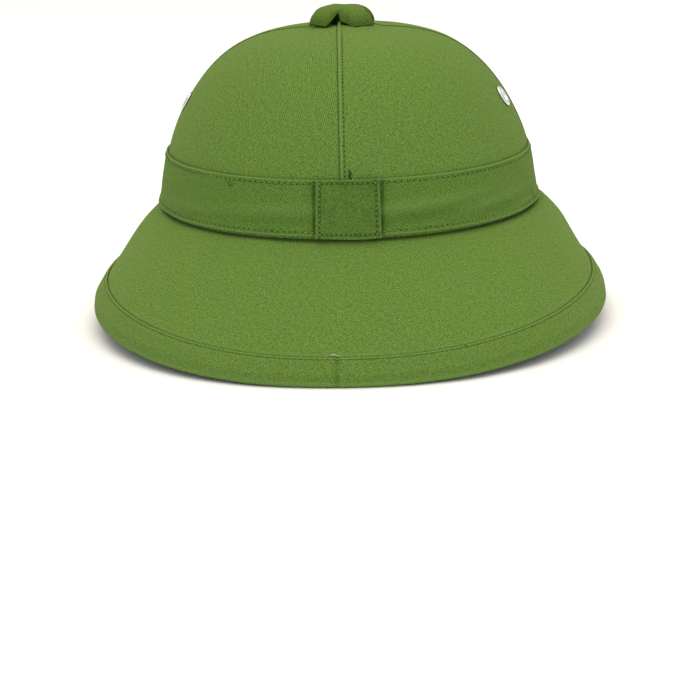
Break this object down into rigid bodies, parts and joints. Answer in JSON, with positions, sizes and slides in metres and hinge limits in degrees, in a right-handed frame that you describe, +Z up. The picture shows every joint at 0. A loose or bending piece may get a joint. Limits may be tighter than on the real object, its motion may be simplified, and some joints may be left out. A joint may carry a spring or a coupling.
{
  "type": "pith helmet",
  "caption": "Cloth-covered pith helmet with a domed crown, wide sloping brim, stitched band with a rear keeper, bound hem, side eyelets and a crossed-strap vent cap.",
  "frame": {"origin": "on the surface that the helmet rests on, under the middle of its brim", "axes": "+Z up through the crown, front towards -Y, rear with the band's keeper towards +Y, wearer's left towards +X"},
  "size_m": [0.2704, 0.3248, 0.1623],
  "materials": {
    "shell": "matte",
    "cloth": "matte",
    "binding_cloth": "matte",
    "band_cloth": "matte",
    "eyelet_metal": "satin"
  },
  "bodies": {
    "root": {"helmet_shell": "shell", "crown_gore_rear_left": "cloth", "crown_gore_rear_right": "cloth", "crown_gore_front_right": "cloth", "crown_gore_front_left": "cloth", "brim_cover": "cloth", "hem_binding": "binding_cloth", "hat_band": "band_cloth", "band_keeper": "band_cloth", "eyelet_left": "eyelet_metal", "eyelet_right": "eyelet_metal", "vent_strap_under": "cloth", "vent_strap_over": "cloth"}
  },
  "joints": []
}
